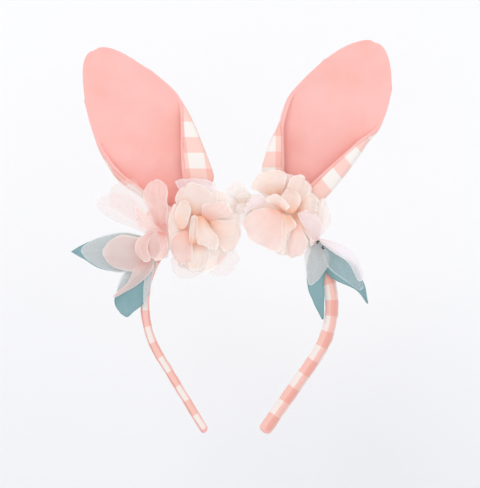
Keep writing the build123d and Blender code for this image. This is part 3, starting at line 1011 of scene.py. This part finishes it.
# The rose-pink organza flower at the left.
patches("rose_petal_top", ROSE, "rose", [
    [(-48.5, 44, 4), (-46.5, 43.5, 4.5), (-44.6, 44, 4)],
    [(-55, 57, 4.5), (-49, 57, 7.5), (-43.6, 56, 5)],
    [(-58.2, 66, 4.5), (-51, 67, 7.5), (-43.6, 66, 5.5)],
    [(-55.4, 73, 4.5), (-50, 75.4, 6.5), (-43.8, 73, 5.5)],
])
patches("rose_petal_corner", ROSE, "rose", [
    [(-44, 42.4, 7), (-44, 41.6, 7.4), (-44.6, 41, 7)],
    [(-50.6, 47.8, 8.5), (-51.4, 46, 9.6), (-52, 44.6, 8.5)],
    [(-57.4, 55.4, 8.5), (-58, 51, 10), (-59.6, 45.4, 8.5)],
    [(-63.2, 62, 7.5), (-62.8, 55, 9), (-61.8, 48, 7.5)],
], frill=0.4)
patches("rose_petal_wide", ROSE, "rose", [
    [(-50, 39, 3.5), (-50, 36, 4), (-50, 33, 3.5)],
    [(-61, 40.6, 5), (-60, 31, 8), (-61, 21, 5)],
    [(-72, 42.4, 5), (-73, 31.5, 8.5), (-71, 21, 5)],
    [(-80, 38.2, 5), (-82.4, 31, 7.5), (-78.4, 23.6, 5)],
], frill=0.5)
patches("rose_petal_loop", ROSE, "rose", [
    [(-44, 48, 5), (-46, 49, 5.4), (-49, 50, 5)],
    [(-41.6, 40, 5.4), (-50, 39, 5), (-57, 44, 5.6)],
    [(-42, 29, 5.6), (-50, 27, 6.4), (-58, 31, 5.8)],
], [
    [(-51.4, 44, 8), (-53, 43.4, 8.4), (-54.6, 43, 8)],
    [(-54.6, 38.6, 7), (-58, 38.4, 8.5), (-61, 39.8, 9)],
    [(-55, 33, 8), (-59, 32, 10.5), (-63.4, 34, 9.5)],
    [(-52.6, 26.8, 9), (-56.5, 25.8, 10.5), (-61.4, 28.4, 9)],
], [
    [(-50, 44, 8), (-47.6, 43.6, 8.4), (-45, 43.4, 8)],
    [(-48.8, 38.6, 8), (-46.4, 38, 10), (-43.4, 38, 8.5)],
    [(-47.8, 33, 8.5), (-45.8, 33, 10.5), (-43, 34.4, 9)],
    [(-53, 25.8, 9.5), (-49, 26.8, 10.8), (-44.6, 30.4, 9.4)],
], frill=0.4)
patches("rose_petal_low", ROSE, "rose", [
    [(-50.5, 33, 4), (-52, 34, 4.4), (-54, 35, 4)],
    [(-52.8, 21, 4.5), (-57.5, 22.4, 7), (-62.6, 24, 5)],
    [(-61, 12.4, 4), (-64, 15, 6.4), (-67.4, 13.6, 4.5)],
    [(-74.6, 4.2, 3), (-76.4, 4.6, 3.6), (-77.4, 4.4, 3)],
], hem=0.8, frill=0.4)
patches("organza_far_left", PALE, "rose", [
    [(-50, 44, 1.6), (-51, 42.6, 2), (-52, 41, 1.6)],
    [(-64, 64, 2.4), (-68, 57, 3.4), (-66, 46.5, 2.4)],
    [(-78, 70, 2.4), (-86, 61, 3.4), (-82, 52.6, 2.4)],
], [
    [(-50, 46, 2.6), (-51.6, 45, 3), (-53, 44, 2.6)],
    [(-58, 66, 3.4), (-66, 61, 4.4), (-66, 52, 3.4)],
    [(-62, 77, 3), (-76, 72, 4), (-80, 58, 3)],
])

patches("rose_underlay", ROSE, "rose", [
    [(-43, 40, 2.4), (-45, 41, 2.8), (-47, 42, 2.4)],
    [(-40, 52, 3), (-48, 55, 4), (-55, 50, 3)],
    [(-40.6, 58, 3), (-48, 62, 4), (-57, 56, 3)],
], [
    [(-46, 41, 2.4), (-45, 40, 2.8), (-44, 39, 2.4)],
    [(-58, 42, 3), (-53, 31, 4), (-43, 30, 3)],
    [(-60, 40, 3), (-55, 27, 4), (-45.5, 27.6, 3)],
], nodes=[])

# The teal leaves and the grey organza over them.
patches("leaf_left_upper", TEAL, "rose", [
    [(-50, 38, 0.2), (-50, 35, 0.5), (-50, 32, 0.2)],
    [(-68, 43.2, 0.8), (-68, 32, 2.2), (-68, 20.6, 0.8)],
    [(-84, 40.6, 1), (-85, 31, 2.4), (-83, 21.6, 1)],
    [(-95, 35.8, 0.8), (-96, 31.4, 1.6), (-93.6, 27.4, 0.8)],
    [(-101, 32.4, 0.4), (-101.2, 32, 0.5), (-101, 31.6, 0.4)],
], **LEAF)
patches("organza_leaf_upper", GREY, "rose", [
    [(-50, 38.6, 1.2), (-50, 35, 1.8), (-50, 31.6, 1.2)],
    [(-68, 43.8, 2), (-68, 32, 3.6), (-68, 20, 2)],
    [(-84, 41.2, 2), (-85, 31.4, 3.6), (-81, 21, 2)],
    [(-96.2, 35.2, 1.6), (-94.4, 30.4, 2.6), (-89.2, 24.2, 1.6)],
], nodes=[], frill=0.3, hem=0.7)
patches("leaf_left_lower", TEAL, "rose", [
    [(-49, 33, 0.8), (-51, 34, 1), (-53, 35, 0.8)],
    [(-52.6, 20, 1), (-60, 21, 2.6), (-67.4, 21, 1)],
    [(-54.4, 8, 1), (-64, 9, 2.8), (-74.4, 7, 1)],
    [(-58, 0.8, 0.8), (-66, 1, 2.2), (-75, 0.4, 0.8)],
    [(-64.4, -4.6, 0.6), (-67.6, -7.2, 1), (-71.6, -5.2, 0.6)],
], **LEAF)
patches("organza_leaf_left", GREY, "rose", [
    [(-51, 34, 2), (-52.6, 34, 2.4), (-54, 35, 2)],
    [(-57, 22, 2.4), (-61, 23, 3.6), (-64, 23.6, 2.4)],
    [(-64, 13.6, 2.2), (-68, 16, 3.4), (-71.6, 17, 2.2)],
    [(-73, 5.6, 1.8), (-74, 6.2, 2.4), (-75, 6.4, 1.8)],
], [
    [(-50, 33, 2.6), (-51, 33.6, 3), (-52.4, 34, 2.6)],
    [(-52, 21.4, 2.6), (-53.6, 21.8, 3.6), (-56, 22, 2.6)],
    [(-53.4, 11.4, 2.4), (-55, 12, 3.4), (-57.8, 13, 2.4)],
    [(-56.6, 1, 1.8), (-57.4, 0.8, 2.4), (-58.4, 1, 1.8)],
], frill=0.2, hem=0.7)
patches("leaf_right_inner", TEAL, "leaves", [
    [(43.4, 36, 0.2), (45, 36, 0.5), (46.6, 36, 0.2)],
    [(40, 24, 0.6), (46, 25, 2), (52.4, 26, 0.6)],
    [(40.6, 11, 0.8), (45.4, 11.6, 2.2), (50.4, 15, 0.8)],
    [(43.6, 2.6, 0.8), (47.4, 3, 1.6), (50.6, 6, 0.8)],
    [(49, -8.4, 0.4), (49.8, -8.8, 0.5), (50.4, -8, 0.4)],
], **LEAF)
patches("organza_leaf_inner", GREY, "leaves", [
    [(43.6, 37.4, 2), (45.6, 38, 3), (47.6, 37.6, 2)],
    [(38.6, 30.4, 2.2), (46, 30, 4.4), (53, 31.4, 2.2)],
    [(39.6, 20, 2.2), (46.4, 22, 4), (53.2, 24, 2.2)],
    [(40.6, 10.2, 1.6), (45, 13.4, 2.6), (49.6, 17.4, 1.6)],
], frill=0.3, hem=0.7)
patches("leaf_right_outer", TEAL, "leaves", [
    [(45.4, 37, 0.8), (46.4, 37.4, 1), (47.4, 37.8, 0.8)],
    [(51.4, 20.6, 1), (56, 24.6, 2.6), (61, 29, 1)],
    [(57.6, 14.6, 1), (63.4, 18.4, 2.6), (69.4, 23.4, 1)],
    [(69.6, 9, 0.8), (72, 10.4, 1.6), (74.6, 12.4, 0.8)],
    [(76.2, 0.8, 0.4), (76.7, 0.8, 0.5), (77, 1.4, 0.4)],
], **LEAF)
patches("organza_leaf_outer", MIST, "leaves", [
    [(46.4, 37.6, 2), (47.6, 38, 2.6), (49, 38.2, 2)],
    [(52.6, 23, 2.4), (57.6, 27, 4), (63, 29.6, 2.4)],
    [(61, 16, 2.2), (65.4, 20, 3.6), (70.6, 24.2, 2.2)],
    [(71.8, 8, 1.6), (73.2, 9.6, 2.2), (75, 10.4, 1.6)],
], frill=0.3, hem=0.7)
patches("organza_leaf_veil", LILAC, "leaves", [
    [(46, 39, 3.4), (47, 39.6, 3.8), (48.4, 40, 3.4)],
    [(56, 31.4, 4.2), (58, 34.6, 5), (60, 37, 4)],
    [(65, 25, 4), (67.4, 28.6, 4.8), (69, 31, 3.8)],
    [(71, 12.6, 3), (73.6, 15.4, 3.6), (75, 18.4, 3)],
], nodes=[], frill=0.2, hem=0.7)

patches("leaf_knot", PINK, "leaves", [
    [(46, 38, 4), (45.6, 37.4, 4.4), (45, 37, 4)],
    [(43, 41.6, 5), (42, 38.4, 6), (42.4, 35, 5)],
], [
    [(37, 46, 5), (37.8, 47, 5.4), (38.6, 47.6, 5)],
    [(43.4, 37.6, 5), (44.6, 38.2, 5.6), (45.6, 39.4, 5)],
], nodes=[], slot="rose_organza", frill=0.2)
# painted shade: two dark wire loops at the leaves' base stand in for dark spots of shadow between the petals
shade_spot_loops = Mesh()
for across, up, turn in ((46.2, 37.7, 0.3), (49.2, 34.5, 1.2)):
    angles = np.linspace(turn, turn + 4.6, 14)
    x, z = across + 0.8 * np.cos(angles), up + 0.6 * np.sin(angles)
    loop = np.stack([x, PAD_FRONT - 5 - angles * 0.1, z], axis=1)
    shade_spot_loops.grid(tube(loop, 0.42), closed=True)
shade_spots = shade_spot_loops.build("leaf_shade_spot_wires", SHADE_SPOT_WIRE)
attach(shade_spots, "crown")

for pad in ("left", "right", "middle", "rose", "leaves"):
    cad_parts[f"felt_pad_{pad}"].data.materials.clear()
    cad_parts[f"felt_pad_{pad}"].data.materials.append(FELT)


# ---------------------------------------------------------------- studio


def studio():
    """A pale sweep behind and below the object, clear from behind and painted darker towards the bottom, with
    soft light and the camera.
    """
    back, floor, bend, wide = 260.0, -330.0, 120.0, 2600.0
    profile = [(back, 2200.0), (back, floor + bend)]
    profile += [
        (back - bend + bend * math.cos(a), floor + bend - bend * math.sin(a))
        for a in np.radians(np.linspace(7.5, 90, 12))
    ]
    profile.append((-3000.0, floor))
    points = np.array([[(x, y, z) for x in (wide, -wide)] for y, z in profile])
    shader = Shader("sweep")
    facing = shader.add("NewGeometry").outputs["Backfacing"]
    grain = shader.ramp(shader.noise(3.0), 0.3, 0.7, 0.0, 0.25)
    height = shader.add("SeparateXYZ", {0: shader.add("TexCoord").outputs["Object"]}).outputs[2]
    # painted shade: the sweep darkens and cools towards the bottom
    low = shader.ramp(height, 0.10, -0.20, 0.0, 1.0)
    tint = shader.mix(low, (0.975, 0.98, 0.985, 1.0), (0.90, 0.905, 0.925, 1.0))
    tint = shader.mix(grain, tint, (0.92, 0.92, 0.92, 1.0))
    matt = shader.add("BsdfDiffuse", {"Color": tint}).outputs[0]
    clear = shader.add("BsdfTransparent").outputs[0]
    material = shader.finish(shader.add("MixShader", {0: facing, 1: matt, 2: clear}).outputs[0])
    sweep = Mesh().grid(points).build("studio_sweep", material)

    world = bpy.data.worlds.new("studio")
    world.use_nodes = True
    world.node_tree.nodes["Background"].inputs["Color"].default_value = (0.97, 0.98, 1.0, 1.0)
    world.node_tree.nodes["Background"].inputs["Strength"].default_value = 0.82
    scene = bpy.context.scene
    scene.world = world
    for name, place, size, power in (
        ("key", (-0.55, -1.25, 1.25), 0.8, 6.5),
        ("fill", (0.9, -1.3, 0.35), 1.2, 2.0),
        ("low", (0.0, -1.3, -0.5), 1.2, 1.5),
    ):
        lamp = bpy.data.lights.new(name, "AREA")
        lamp.size, lamp.energy = size, power
        lamp.color = (1.0, 0.985, 0.965)
        holder = bpy.data.objects.new(name, lamp)
        holder.location = place
        holder.rotation_euler = (Vector((0, 0, 0.04)) - Vector(place)).to_track_quat("-Z", "Y").to_euler()
        scene.collection.objects.link(holder)

    camera = bpy.data.cameras.new("camera")
    camera.lens, camera.sensor_width = 85.0, 36.0
    holder = bpy.data.objects.new("camera", camera)
    holder.location = (0.0, -VIEW_DISTANCE * MM, VIEW_HEIGHT * MM)
    holder.rotation_euler = (math.pi / 2, 0.0, 0.0)
    scene.collection.objects.link(holder)
    scene.camera = holder
    scene.view_settings.view_transform = "Standard"
    scene.cycles.transparent_max_bounces = 32


studio()
